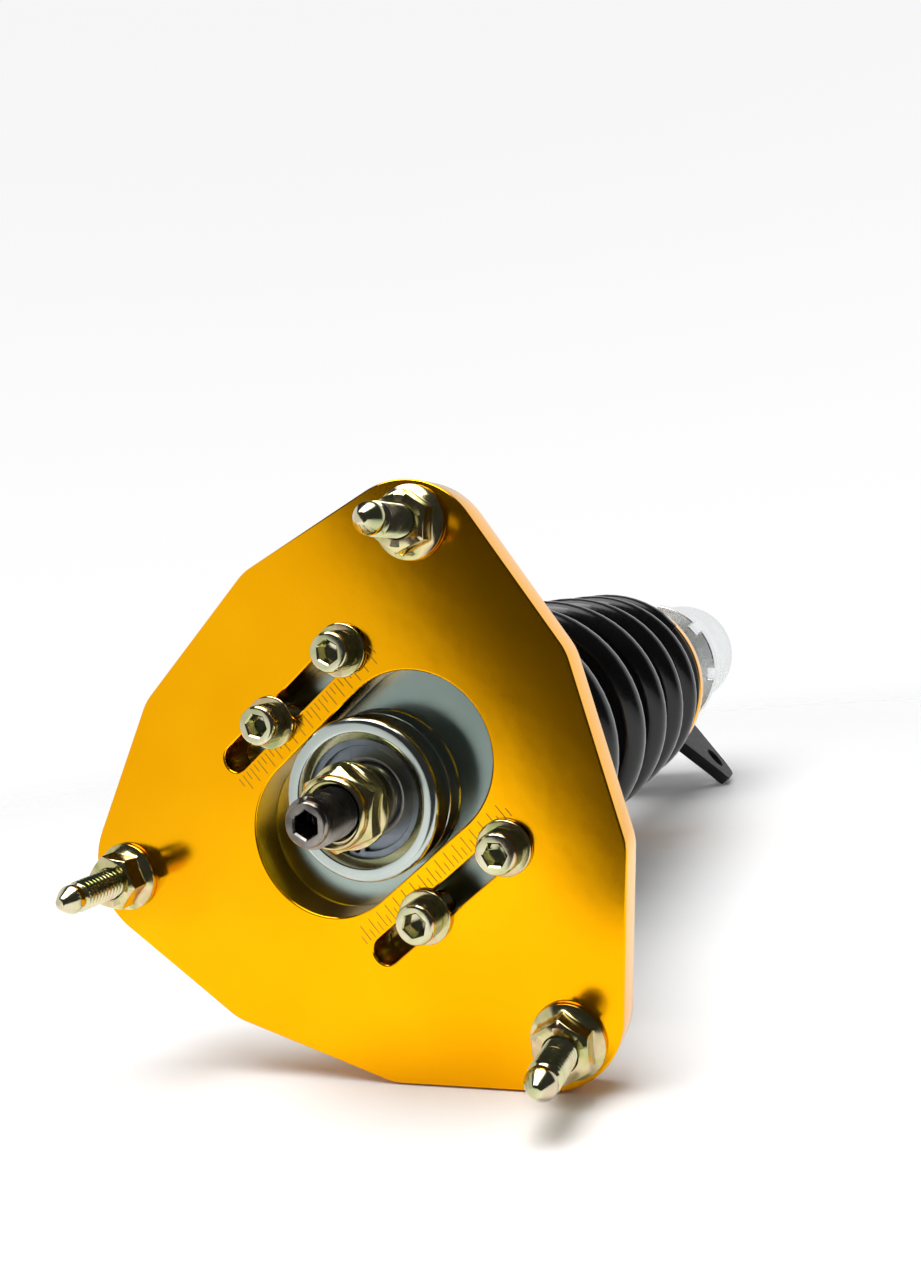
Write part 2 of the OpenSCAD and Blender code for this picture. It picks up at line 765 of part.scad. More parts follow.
top_plate();
tower_studs();
tower_nuts();
camber_carrier();
camber_screws();
camber_washers();
bearing_race();
bearing_snap_ring();
race_liner();
bearing_ball();
upper_spacer();
lower_spacer();
rod_nut();
piston_rod();
adjuster_needle();
upper_thrust_washer();
bump_stop();
damper_piston();
piston_band();
compression_shims();
rebound_shims();
piston_nut();
thrust_needles();
thrust_cage();
lower_thrust_washer();
upper_spring_seat();
spring();
dust_boot();
damper_body();
gland_nut();
rod_wiper();
rod_seal();
rod_guide();
base_plug();
gas_valve_screw();
floating_piston();
floating_piston_ring();
spring_slip_washer();
lower_perch();
perch_lock_ring();
bracket_sleeve();
knuckle_ears();
ear_webs();
brake_hose_tab();
link_tab();
bracket_lock_ring();
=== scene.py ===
"""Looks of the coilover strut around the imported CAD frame. Lengths in the helpers are millimetres."""
import bpy
import bmesh
import math
import random
from mathutils import Matrix, Vector


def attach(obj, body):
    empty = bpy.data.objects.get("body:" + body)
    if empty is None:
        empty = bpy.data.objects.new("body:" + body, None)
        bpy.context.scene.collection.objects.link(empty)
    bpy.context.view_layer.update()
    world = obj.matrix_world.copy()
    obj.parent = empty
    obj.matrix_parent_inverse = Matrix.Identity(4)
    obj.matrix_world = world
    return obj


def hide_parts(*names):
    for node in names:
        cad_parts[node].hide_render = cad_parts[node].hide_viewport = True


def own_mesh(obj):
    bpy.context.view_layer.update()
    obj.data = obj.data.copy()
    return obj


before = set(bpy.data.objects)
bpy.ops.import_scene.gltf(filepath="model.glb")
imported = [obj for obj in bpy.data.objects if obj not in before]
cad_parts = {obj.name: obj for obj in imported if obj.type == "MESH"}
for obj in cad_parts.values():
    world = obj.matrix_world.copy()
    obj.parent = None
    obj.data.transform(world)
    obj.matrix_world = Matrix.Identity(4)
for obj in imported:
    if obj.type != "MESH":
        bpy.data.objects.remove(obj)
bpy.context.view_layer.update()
MM = 0.001
TAU = 2 * math.pi

# Sizes shared with the CAD part
AXIS = (5.4, 1.1)
STUD_CIRCLE, STUD_CLOCK = 72.0, 35.0
PLATE_T, CORNER_C, CORNER_R, SIDE_REACH, SIDE_TURN = 10.0, 61.7, 20.3, 66.7, 40.0
SLOT_Y, SCREW_X = 30.6, (-8.0, 19.2)
SPRING_TOP, SPRING_BOTTOM = 45.0, 252.0
OPENING_LEN, OPENING_W, SLOT_LEN, SLOT_W = 71.8, 41.6, 52, 7
BALL_Z, BALL_R, BALL_HALF, LINER_R = -5.25, 10.5, 8, 11.72
EAR_REACH, UPPER_BOLT, LOWER_BOLT = 58, (-381, 7.1), (-436, 6.1)
LINK_X = 21.4
BENCH_UP = (0.592, 0.806, 0)


# ---------- materials ----------

class Nodes:
    """Short hand for building a node material."""

    def __init__(self, name):
        self.mat = bpy.data.materials.new(name)
        self.mat.use_nodes = True
        self.tree = self.mat.node_tree
        self.bsdf = self.tree.nodes["Principled BSDF"]
        self.coord = self.tree.nodes.new("ShaderNodeTexCoord")

    def new(self, kind, **values):
        node = self.tree.nodes.new(kind)
        for key, value in values.items():
            if key in node.inputs:
                node.inputs[key].default_value = value
            else:
                setattr(node, key, value)
        return node

    def link(self, a, b):
        self.tree.links.new(a, b)

    def noise(self, scale, detail=3.0, rough=0.5, stretch=None):
        """Noise over the object's own space, in cycles per metre."""
        tex = self.new("ShaderNodeTexNoise", Scale=scale, Detail=detail, Roughness=rough)
        if stretch:
            mapping = self.new("ShaderNodeMapping", Scale=stretch)
            self.link(self.coord.outputs["Object"], mapping.inputs["Vector"])
            self.link(mapping.outputs["Vector"], tex.inputs["Vector"])
        else:
            self.link(self.coord.outputs["Object"], tex.inputs["Vector"])
        return tex.outputs["Fac"]

    def ramp(self, fac, stops):
        ramp = self.new("ShaderNodeValToRGB")
        elements = ramp.color_ramp.elements
        while len(elements) < len(stops):
            elements.new(0.5)
        for element, (at, colour) in zip(elements, stops):
            element.position = at
            element.color = (*colour, 1.0)
        self.link(fac, ramp.inputs["Fac"])
        return ramp.outputs["Color"]

    def span(self, fac, low, high, start=0.3, end=0.7):
        """Noise rescaled to run from low to high."""
        node = self.new("ShaderNodeMapRange")
        for key, value in zip(("From Min", "From Max", "To Min", "To Max"), (start, end, low, high)):
            node.inputs[key].default_value = value
        self.link(fac, node.inputs["Value"])
        return node.outputs["Result"]

    def bump(self, *layers):
        """Layers of (height, distance in metres), summed."""
        last = None
        for height, distance in layers:
            node = self.new("ShaderNodeBump", Strength=1.0, Distance=distance)
            self.link(height, node.inputs["Height"])
            if last is not None:
                self.link(last.outputs["Normal"], node.inputs["Normal"])
            last = node
        self.link(last.outputs["Normal"], self.bsdf.inputs["Normal"])

    def put(self, socket, output):
        self.link(output, self.bsdf.inputs[socket])

    def fix(self, **values):
        for key, value in values.items():
            self.bsdf.inputs[key.replace("_", " ")].default_value = value


def metal(name, stops, rough, colour_scale=40, grain=2600, grain_depth=0.0000015, smear=700, stretch=None,
          **fixed):
    """A metal whose tint drifts slowly, with worn patches in its roughness and a fine grain in its bump."""
    m = Nodes(name)
    m.put("Base Color", m.ramp(m.noise(colour_scale, 2.0), stops))
    m.put("Roughness", m.span(m.noise(smear, 4.0, 0.6), rough[0], rough[1]))
    m.bump((m.noise(grain, 2.0, 0.6, stretch), grain_depth), (m.noise(90, 2.0), 0.00002))
    m.fix(Metallic=1.0, **fixed)
    return m.mat


def dielectric(name, stops, rough, grain=1500, grain_depth=0.00001, colour_scale=60, **fixed):
    m = Nodes(name)
    m.put("Base Color", m.ramp(m.noise(colour_scale, 3.0), stops))
    m.put("Roughness", m.span(m.noise(500, 4.0, 0.6), rough[0], rough[1]))
    m.bump((m.noise(grain, 3.0, 0.6), grain_depth), (m.noise(160, 2.0), 0.00003))
    m.fix(Metallic=0.0, **fixed)
    return m.mat


gold = metal("gold_anodised", [(0.35, (0.95, 0.42, 0.001)), (0.65, (1.0, 0.46, 0.002))], (0.12, 0.15),
             colour_scale=25, grain=5200, grain_depth=0.0000015, smear=1800)
gold_turned = metal("gold_turned", [(0.35, (0.92, 0.42, 0.003)), (0.65, (1.0, 0.47, 0.008))], (0.16, 0.24),
                    grain=900, grain_depth=0.000003, stretch=(1, 1, 9))
etched = dielectric("etched_marks", [(0.3, (0.30, 0.13, 0.006)), (0.7, (0.42, 0.19, 0.012))], (0.5, 0.7))
zinc = metal("yellow_zinc", [(0.30, (0.36, 0.39, 0.16)), (0.43, (0.55, 0.50, 0.24)),
                             (0.52, (0.60, 0.55, 0.31)),
                             (0.60, (0.58, 0.43, 0.27)), (0.68, (0.45, 0.45, 0.19))], (0.10, 0.18),
             colour_scale=170, grain=1700, grain_depth=0.0000015)
zinc_pale = metal("yellow_zinc_pale", [(0.30, (0.42, 0.45, 0.24)), (0.45, (0.55, 0.54, 0.32)),
                                       (0.55, (0.60, 0.57, 0.39)), (0.68, (0.57, 0.48, 0.34))], (0.10, 0.18),
                  colour_scale=150, grain=1700, grain_depth=0.0000015)
blue_zinc = metal("clear_zinc", [(0.35, (0.32, 0.41, 0.375)), (0.65, (0.36, 0.45, 0.41))], (0.22, 0.27),
                  colour_scale=30, grain=1200, grain_depth=0.0000006, smear=120)
polished = metal("clear_zinc_polished", [(0.35, (0.42, 0.47, 0.44)), (0.65, (0.48, 0.53, 0.49))],
                 (0.12, 0.18),
                 colour_scale=60, grain=900, grain_depth=0.000001, smear=150, stretch=(1, 1, 6))
dark_steel = metal("dark_steel", [(0.35, (0.12, 0.14, 0.16)), (0.65, (0.22, 0.25, 0.28))], (0.28, 0.42))
bright_steel = metal("bearing_steel", [(0.35, (0.55, 0.56, 0.57)), (0.65, (0.68, 0.68, 0.69))], (0.12, 0.2))
rod_steel = metal("rod_steel", [(0.32, (0.12, 0.11, 0.10)), (0.5, (0.20, 0.185, 0.165)),
                                (0.68, (0.29, 0.27, 0.24))],
                  (0.14, 0.24), colour_scale=200, grain_depth=0.000002)
rod_chrome = metal("rod_chrome", [(0.35, (0.60, 0.60, 0.60)), (0.65, (0.68, 0.68, 0.68))], (0.05, 0.09))
silver = metal("damper_silver", [(0.35, (0.72, 0.75, 0.76)), (0.65, (0.82, 0.84, 0.84))], (0.2, 0.32),
               grain=1100, grain_depth=0.0000008, smear=200, stretch=(1, 1, 5))
black_anodised = metal("black_anodised", [(0.35, (0.03, 0.03, 0.033)), (0.65, (0.05, 0.05, 0.055))],
                       (0.3, 0.4))
spring_paint = dielectric("spring_black", [(0.35, (0.002, 0.002, 0.0022)), (0.65, (0.004, 0.004, 0.0045))],
                          (0.16, 0.26), grain=700, grain_depth=0.00001, Coat_Weight=0.3, Coat_Roughness=0.06,
                          Specular_IOR_Level=0.3)
bracket_paint = dielectric("bracket_black", [(0.35, (0.010, 0.010, 0.011)), (0.65, (0.02, 0.02, 0.022))],
                           (0.36, 0.48), grain=600, grain_depth=0.00001, Specular_IOR_Level=0.1)
rubber = dielectric("boot_rubber", [(0.35, (0.014, 0.014, 0.015)), (0.65, (0.03, 0.03, 0.031))], (0.5, 0.65))
foam = dielectric("bump_foam", [(0.3, (0.70, 0.60, 0.32)), (0.7, (0.82, 0.74, 0.45))], (0.6, 0.75),
                  grain=2600,
                  grain_depth=0.00005)
ptfe = dielectric("ptfe_liner", [(0.3, (0.60, 0.56, 0.48)), (0.7, (0.75, 0.72, 0.66))], (0.45, 0.6),
                  grain=3000)
brown_nylon = dielectric("cage_nylon", [(0.3, (0.32, 0.18, 0.07)), (0.7, (0.42, 0.25, 0.11))], (0.4, 0.5))
black_nylon = dielectric("slip_nylon", [(0.3, (0.02, 0.02, 0.022)), (0.7, (0.035, 0.035, 0.037))],
                         (0.35, 0.5))


# ---------- mesh helpers ----------

def finish_piece(name, bm, material, body, replaces=(), sharp=32.0, flat_axis=None):
    """Cleans the mesh, shades it smooth with its real corners sharp, and puts it on its CAD body."""
    bmesh.ops.remove_doubles(bm, verts=bm.verts, dist=0.4e-6)
    bmesh.ops.dissolve_degenerate(bm, dist=0.2e-6, edges=bm.edges)
    bmesh.ops.recalc_face_normals(bm, faces=bm.faces)
    shade(bm, sharp, flat_axis)
    mesh = bpy.data.meshes.new(name)
    bm.to_mesh(mesh)
    bm.free()
    mesh.materials.append(material)
    obj = bpy.data.objects.new(name, mesh)
    bpy.context.scene.collection.objects.link(obj)
    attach(obj, body)
    if replaces:
        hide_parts(*([replaces] if isinstance(replaces, str) else replaces))
    return obj


def shade(bm, sharp, flat_axis=None):
    """Smooth shading with sharp corners. Faces square to flat_axis keep their own flat shading."""
    flat = None if flat_axis is None else Vector(flat_axis).normalized()
    for f in bm.faces:
        f.smooth = True
    for e in bm.edges:
        if len(e.link_faces) != 2:
            e.smooth = False
            continue
        a, b = e.link_faces
        bend = a.normal.angle(b.normal, 0.0)
        square = [flat is not None and abs(f.normal.dot(flat)) > 0.99995 for f in (a, b)]
        e.smooth = bend < math.radians(sharp) and square[0] == square[1]


def fillet(points, radii, steps=5):
    """A closed profile with its corners rounded. One radius per corner, 0 for a sharp one."""
    out = []
    n = len(points)
    for i, (p, r) in enumerate(zip(points, radii)):
        p = Vector(p)
        a, b = Vector(points[i - 1]) - p, Vector(points[(i + 1) % n]) - p
        if r <= 0 or a.length < 1e-6 or b.length < 1e-6:
            out.append(tuple(p))
            continue
        turn = a.angle(b)
        if abs(turn - math.pi) < 1e-3:
            out.append(tuple(p))
            continue
        back = min(r / math.tan(turn / 2), 0.49 * a.length, 0.49 * b.length)
        start, end = p + a.normalized() * back, p + b.normalized() * back
        for k in range(steps + 1):
            t = k / steps
            out.append(tuple(start * (1 - t) ** 2 + p * 2 * t * (1 - t) + end * t ** 2))
    return out


class Helix(list):
    """A row that climbs one pitch, four rows on, in its turn."""


def grid_rows(bm, rows, centre, closed):
    """Joins rows of (radius, height) per column into a skin. A row at radius 0 is one point."""
    made = []
    for row in rows:
        n = len(row)
        if max(r for r, _ in row) < 1e-6:
            made.append([bm.verts.new(Vector((centre[0], centre[1], row[0][1])) * MM)] * n)
            continue
        made.append([bm.verts.new(Vector((centre[0] + r * math.cos(TAU * k / n),
                                          centre[1] + r * math.sin(TAU * k / n),
                                          z)) * MM) for k, (r, z) in enumerate(row)])
    n = len(rows[0])
    ends = [made[i][:1] for i in range(len(rows))]
    for i, row in enumerate(rows):
        if isinstance(row, Helix):
            j = i
            while j < i + 4 and j + 1 < len(rows) and isinstance(rows[j + 1], Helix):
                j += 1
            ends[i] = made[j][:1]
    wrapped = [row + end for row, end in zip(made, ends)]
    pairs = list(zip(wrapped, wrapped[1:])) + ([(wrapped[-1], wrapped[0])] if closed else [])
    for a, b in pairs:
        for k in range(n):
            face = []
            for v in (a[k], a[k + 1], b[k + 1], b[k]):
                if v not in face:
                    face.append(v)
            if len(face) > 2:
                bm.faces.new(face)


def turned(profile, n=128, centre=AXIS):
    """A lathed skin about a vertical axis. The profile is closed, or runs from axis to axis."""
    bm = bmesh.new()
    closed = not (profile[0][0] < 1e-6 and profile[-1][0] < 1e-6)
    grid_rows(bm, [[(r, z)] * n for r, z in profile], centre, closed)
    return bm


def lathe(name, points, radii, material, body, replaces=(), n=128, centre=AXIS, steps=5,
          sharp=32.0):
    profile = fillet(points, radii if isinstance(radii, (list, tuple)) else [radii] * len(points), steps)
    return finish_piece(name, turned(profile, n, centre), material, body, replaces, sharp)


def thread_rows(z0, z1, major, pitch, depth, n, envelope):
    """Rows of a right-handed thread between two heights, cut to an envelope radius at each height."""
    def radius(z, k):
        phase = ((z - z0) / pitch - k / n) % 1.0
        if phase < 0.12:
            r = major
        elif phase < 0.44:
            r = major - depth * (phase - 0.12) / 0.32
        elif phase < 0.68:
            r = major - depth
        else:
            r = major - depth * (1.0 - phase) / 0.32
        return min(r, envelope(z))

    rows = []
    turns = int(math.ceil((z1 - z0) / pitch)) + 1
    for turn in range(-1, turns):
        for phase in (0.0, 0.12, 0.44, 0.68):
            row = Helix()
            for k in range(n):
                z = min(max(z0 + pitch * (turn + phase + k / n), z0), z1)
                row.append((radius(z, k), z))
            rows.append(row)
    return rows


def flats(af, theta):
    """Radius of a hexagon at an angle, given its width across the flats."""
    t = (theta + math.pi / 6) % (math.pi / 3) - math.pi / 6
    return af / 2 / math.cos(t)


def hex_nut(name, centre, z0, af, height, flange_r, flange_t, bore, material, body, replaces, clock=0.0,
            washer_rise=1.2, n=144, collar=None):
    """A flange nut with its chamfered corners, domed flange and countersunk bore.

    A collar, as (radius, height, insert radius, insert depth), stands on the hexagon and holds a sunk insert.
    """
    bm = bmesh.new()
    crown = af / 2 * 0.96

    def column(make):
        return [make(flats(af, TAU * k / n - math.radians(clock))) for k in range(n)]

    slope = washer_rise / max(flange_r - af / 2, 0.5)
    rows = [[(bore + 0.5, z0)] * n, [(flange_r - 0.35, z0)] * n, [(flange_r, z0 + 0.35)] * n,
            [(flange_r, z0 + flange_t - 0.45)] * n, [(flange_r - 0.12, z0 + flange_t - 0.15)] * n,
            [(flange_r - 0.45, z0 + flange_t)] * n]
    foot = lambda r: z0 + flange_t + max(flange_r - 0.45 - r, 0) * slope
    rows.append(column(lambda r: (r + 0.35, foot(r + 0.35))))
    rows.append(column(lambda r: (r + 0.08, foot(r) + 0.12)))
    rows.append(column(lambda r: (r, foot(r) + 0.45)))
    top = lambda r: z0 + height - max(r - crown, 0) * math.tan(math.radians(32))
    rows.append(column(lambda r: (r, top(r) - 0.18)))
    rows.append(column(lambda r: (r - 0.1, top(r) - 0.03)))
    if collar:
        r, tall, seat, sunk = collar
        z = z0 + tall
        rows += [[(at, up)] * n for at, up in (
            (r + 0.15, z0 + height), (r, z0 + height + 0.15), (r, z - 1.2), (r - 0.15, z - 0.6),
            (r - 0.45, z - 0.2),
            (r - 0.8, z), (seat + 0.15, z - 0.1), (seat, z - 0.4), (seat, z - sunk))]
        height = tall - sunk
    else:
        rows.append([(crown - 0.25, z0 + height)] * n)
    rows += [[(bore + 0.75, z0 + height)] * n, [(bore + 0.05, z0 + height - 0.75)] * n,
             [(bore + 0.05, z0 + 0.5)] * n]
    grid_rows(bm, rows, centre, True)
    return finish_piece(name, bm, material, body, replaces, sharp=28)


def hex_socket_rows(af, top, depth, clock, n, countersink=0.35):
    """Rows that go down into a hexagonal socket and close at its conical bottom."""
    hexagon = lambda grow: [flats(af, TAU * k / n - math.radians(clock)) + grow for k in range(n)]
    return [[(r, top) for r in hexagon(countersink)], [(r, top - countersink) for r in hexagon(0)],
            [(r, top - depth) for r in hexagon(0)], [(0, top - depth - af * 0.22)] * n]


def outline_arc(centre, r, a0, a1, steps):
    return [(centre[0] + r * math.cos(math.radians(a0 + (a1 - a0) * k / steps)),
             centre[1] + r * math.sin(math.radians(a0 + (a1 - a0) * k / steps))) for k in range(steps + 1)]


def bar_outline(centre, length, width, steps=24):
    half = (length - width) / 2
    return (outline_arc((centre[0] + half, centre[1]), width / 2, -90, 90, steps)
            + outline_arc((centre[0] - half, centre[1]), width / 2, 90, 270, steps))


def slab(name, outer, holes, low, high, bevel, material, body, replaces=(),
         place=Matrix.Identity(4),
         segments=3):
    """A flat plate from outlines, with its edges rounded. place turns it into the frame."""
    curve = bpy.data.curves.new(name + "_outline", "CURVE")
    curve.dimensions = "2D"
    curve.fill_mode = "BOTH"
    curve.extrude = (high - low) / 2 - bevel
    curve.bevel_depth = bevel
    curve.bevel_resolution = segments
    curve.offset = -bevel
    for loop in [outer] + list(holes):
        spline = curve.splines.new("POLY")
        spline.points.add(len(loop) - 1)
        for point, (x, y) in zip(spline.points, loop):
            point.co = (x, y, 0, 1)
        spline.use_cyclic_u = True
    temp = bpy.data.objects.new(name + "_outline", curve)
    bpy.context.scene.collection.objects.link(temp)
    bpy.context.view_layer.update()
    mesh = bpy.data.meshes.new_from_object(temp.evaluated_get(bpy.context.evaluated_depsgraph_get()))
    bpy.data.objects.remove(temp)
    bpy.data.curves.remove(curve)
    bm = bmesh.new()
    bm.from_mesh(mesh)
    bpy.data.meshes.remove(mesh)
    move = Matrix.Scale(MM, 4) @ place @ Matrix.Translation((0, 0, (high + low) / 2))
    bmesh.ops.transform(bm, matrix=move, verts=bm.verts)
    return finish_piece(name, bm, material, body, replaces, 30.0, (place.to_3x3() @ Vector((0, 0, 1))))


def ring_with_notches(outer, width, count, floor_r, steps=10):
    """Outer outline of a ring with square notches."""
    half = math.degrees(math.asin(width / 2 / outer))
    inner_half = math.degrees(math.asin(width / 2 / floor_r))
    points = []
    for k in range(count):
        at = 360 * k / count
        points += outline_arc((0, 0), floor_r, at - inner_half, at + inner_half, 3)
        points += outline_arc((0, 0), outer, at + half, at + 360 / count - half, steps)
    return points


def shift(points, by):
    return [(x + by[0], y + by[1]) for x, y in points]


def sweep(path, radius_of, sides, bm):
    """A round bar along points, in millimetres."""
    rings = []
    n = len(path)
    upright = abs((Vector(path[1]) - Vector(path[0])).normalized().z) > 0.9
    reference = Vector((1, 0, 0) if upright else (0, 0, 1))
    for i, p in enumerate(path):
        a, b = path[max(i - 1, 0)], path[min(i + 1, n - 1)]
        along = (Vector(b) - Vector(a)).normalized()
        side = along.cross(reference).normalized()
        top = side.cross(along)
        r = radius_of(i / max(n - 1, 1))
        turns = [TAU * k / sides for k in range(sides)]
        spokes = [side * math.cos(t) + top * math.sin(t) for t in turns]
        rings.append([bm.verts.new((Vector(p) + spoke * r) * MM) for spoke in spokes])
    for a, b in zip(rings, rings[1:]):
        for k in range(sides):
            bm.faces.new((a[k], a[(k + 1) % sides], b[(k + 1) % sides], b[k]))
    bm.faces.new(rings[0][::-1])
    bm.faces.new(rings[-1])
    return bm


def weld(name, path, radius, material, body, seed):
    """A weld bead with overlapping ripples, along points in millimetres."""
    rng = random.Random(seed)
    fine = []
    for a, b in zip(path, path[1:]):
        steps = max(1, int((Vector(b) - Vector(a)).length / 0.5))
        fine += [tuple(Vector(a).lerp(Vector(b), k / steps)) for k in range(steps)]
    fine.append(path[-1])
    wobble = [rng.uniform(0.94, 1.06) for _ in fine]
    n = max(len(fine) - 1, 1)

    def radius_of(t):
        i = min(int(round(t * n)), len(wobble) - 1)
        return radius * (0.88 + 0.13 * abs(math.sin(i * 0.5 * math.pi / 2.6))) * wobble[i]

    return finish_piece(name, sweep(fine, radius_of, 10, bmesh.new()), material, body, (), 60)


def cut_with(obj, cutters):
    """Subtracts lathed cutters from a piece."""
    for bm in cutters:
        bmesh.ops.recalc_face_normals(bm, faces=bm.faces)
        mesh = bpy.data.meshes.new("cutter")
        bm.to_mesh(mesh)
        bm.free()
        tool = bpy.data.objects.new("cutter", mesh)
        bpy.context.scene.collection.objects.link(tool)
        mod = obj.modifiers.new("cut", "BOOLEAN")
        mod.operation, mod.solver, mod.object = "DIFFERENCE", "EXACT", tool
        bpy.context.view_layer.update()
        done = bpy.data.meshes.new_from_object(obj.evaluated_get(bpy.context.evaluated_depsgraph_get()))
        obj.modifiers.clear()
        old, obj.data = obj.data, done
        bpy.data.meshes.remove(old)
        bpy.data.objects.remove(tool)
    bm = bmesh.new()
    bm.from_mesh(obj.data)
    bmesh.ops.recalc_face_normals(bm, faces=bm.faces)
    shade(bm, 30.0, (0, 0, 1))
    bm.to_mesh(obj.data)
    bm.free()


def polar(r, degrees):
    return r * math.cos(math.radians(degrees)), r * math.sin(math.radians(degrees))


# ---------- top plate, studs and nuts ----------

def plate_outline():
    side = Vector(polar(SIDE_REACH, SIDE_TURN)) - Vector((CORNER_C, 0))
    touch = math.degrees(math.atan2(side.y, side.x) - math.acos(CORNER_R / side.length))
    points, radii = [], []
    for k in range(3):
        turn = STUD_CLOCK + 120 * k
        arc = outline_arc(polar(CORNER_C, turn), CORNER_R, turn - touch, turn + touch, 26)
        points += arc + [polar(SIDE_REACH, turn + SIDE_TURN), polar(SIDE_REACH, turn + 120 - SIDE_TURN)]
        radii += [0] * len(arc) + [14, 14]
    return fillet(points, radii, 6)


plate_holes = [bar_outline(AXIS, OPENING_LEN, OPENING_W, 48)]
plate_holes += [bar_outline((AXIS[0], AXIS[1] + side * SLOT_Y), SLOT_LEN, SLOT_W) for side in (-1, 1)]
plate = slab("camber_plate", plate_outline(), plate_holes, -PLATE_T, 0, 0.45, gold, "top_plate", "top_plate",
             segments=4)
stud_places = [polar(STUD_CIRCLE, STUD_CLOCK + 120 * k) for k in range(3)]
cut_with(plate, [turned([(0, -12), (7.02, -12), (7.02, -6.5), (4.42, -6.5), (4.42, 2), (0, 2)], 64, at)
                 for at in stud_places])

marks = bmesh.new()
for side in (-1, 1):
    for k in range(-17, 18):
        x = AXIS[0] + k * 1.5
        far, near = AXIS[1] + side * 26.3, AXIS[1] + side * (21.9 if k % 2 == 0 else 23.9)
        lo, hi = min(far, near), max(far, near)
        corner = [marks.verts.new(Vector((x + dx, y, z)) * MM) for z in (-0.04, 0.012)
                  for dx, y in ((-0.11, lo), (0.11, lo), (0.11, hi), (-0.11, hi))]
        for face in ((0, 1, 2, 3), (4, 5, 6, 7), (0, 1, 5, 4), (1, 2, 6, 5), (2, 3, 7, 6), (3, 0, 4, 7)):
            marks.faces.new([corner[i] for i in face])
finish_piece("camber_scale_marks", marks, etched, "top_plate", ())

for number, at in enumerate(stud_places, 1):
    n = 72
    envelope = lambda z: min(3.95, 3.2 + max(0, z - 0.1), 3.3 + max(0, 20.4 - z))
    rows = [[(r, z)] * n for r, z in ((0, -10), (6.6, -10), (7, -9.6), (7, -6.9), (6.7, -6.55), (4.4, -6.5),
                                      (4.4, -0.3), (3.4, -0.1))]
    rows += thread_rows(0, 20.4, 3.95, 1.25, 0.72, n, envelope)
    rows += [[(r, z)] * n for r, z in ((3.2, 20.5), (3.2, 20.9), (3.62, 21.2), (3.72, 21.6), (3.72, 22.5),
                                       (3.6, 22.95), (3.3, 23.5), (1.6, 25.95), (1.3, 26.2), (1.05, 26.3),
                                       (0, 26.3))]
    bm = bmesh.new()
    grid_rows(bm, rows, at, False)
    finish_piece(f"tower_stud_{number}", bm, zinc_pale, "top_plate", "tower_studs", sharp=26)
    hex_nut(f"tower_nut_{number}", at, 0.0, 13, 8, 8.95, 1.6, 3.6, zinc, "top_plate", "tower_nuts",
            clock=(12, 41, 22)[number - 1], washer_rise=1.5)

# ---------- camber carrier, cup and screws ----------

carrier_outline = []
for sx, sy, a in ((1, 1, 0), (-1, 1, 90), (-1, -1, 180), (1, -1, 270)):
    carrier_outline += outline_arc((AXIS[0] + sx * 32, AXIS[1] + sy * 27), 12, a, a + 90, 12)
screw_places = [(AXIS[0] + x, AXIS[1] + side * SLOT_Y) for x in SCREW_X for side in (-1, 1)]
carrier_holes = [outline_arc(AXIS, 19.9, 0, 355,
                             71)] + [outline_arc(at, 3.05, 0, 350, 35) for at in screw_places]
slab("carrier_plate", carrier_outline, carrier_holes, -18, -10, 0.5, blue_zinc, "camber_carrier",
     "camber_carrier")
lathe("bearing_cup",
      [(12.5, -18), (20, -18), (20, -10.4), (20.25, -10), (20, -9.2), (20, -3.7), (19.6, -3.5), (19.6, -3.1),
       (20, -2.9),
       (20, 5), (16.6, 5), (14.5, 3.4), (14.5, 2.4), (15.5, 2.4), (15.5, 1), (14.5, 1), (14.5, -11.5),
       (12.5, -11.5)],
      [0.4, 0.4, 0, 0, 0.5, 0.15, 0.1, 0.1, 0.15, 2.6, 0.9, 0.5, 0.1, 0, 0, 0, 0, 0.3], polished,
      "camber_carrier",
      "camber_carrier", n=192, steps=7, sharp=34)

for number, at in enumerate(screw_places, 1):
    n = 96
    rows = [[(r, z)] * n for r, z in ((0, -17.5), (2.2, -17.5))]
    rows += thread_rows(-17.3, 1.2, 2.98, 1.0, 0.6, n, lambda z: min(2.98, 2.3 + max(0, z + 17.3)))
    rows += [[(r, z)] * n for r, z in ((2.98, 1.3), (3.0, 1.5), (4.5, 1.5), (4.9, 1.75))]
    rows += [[(5.0 - (0.11 if k % 2 else 0), z) for k in range(n)] for z in (2.0, 6.1)]
    rows += [[(r, z)] * n for r, z in ((4.99, 6.3), (4.97, 6.65), (4.84, 7.05), (4.6, 7.32), (4.3, 7.45),
                                       (4.1, 7.48))]
    rows += hex_socket_rows(5, 7.5, 4.4, (8, 37, 50, 21)[number - 1], n)
    bm = bmesh.new()
    grid_rows(bm, rows, at, False)
    finish_piece(f"camber_screw_{number}", bm, zinc_pale, "camber_carrier", "camber_screws",
                 sharp=30)
    lathe(f"camber_washer_{number}", [(3.1, 0.03), (6.7, 0.03), (6.7, 1.5), (3.1, 1.5)],
          [0.1, 0.3, 0.5, 0.2], zinc,
          "camber_carrier", "camber_washers", n=72, centre=at)

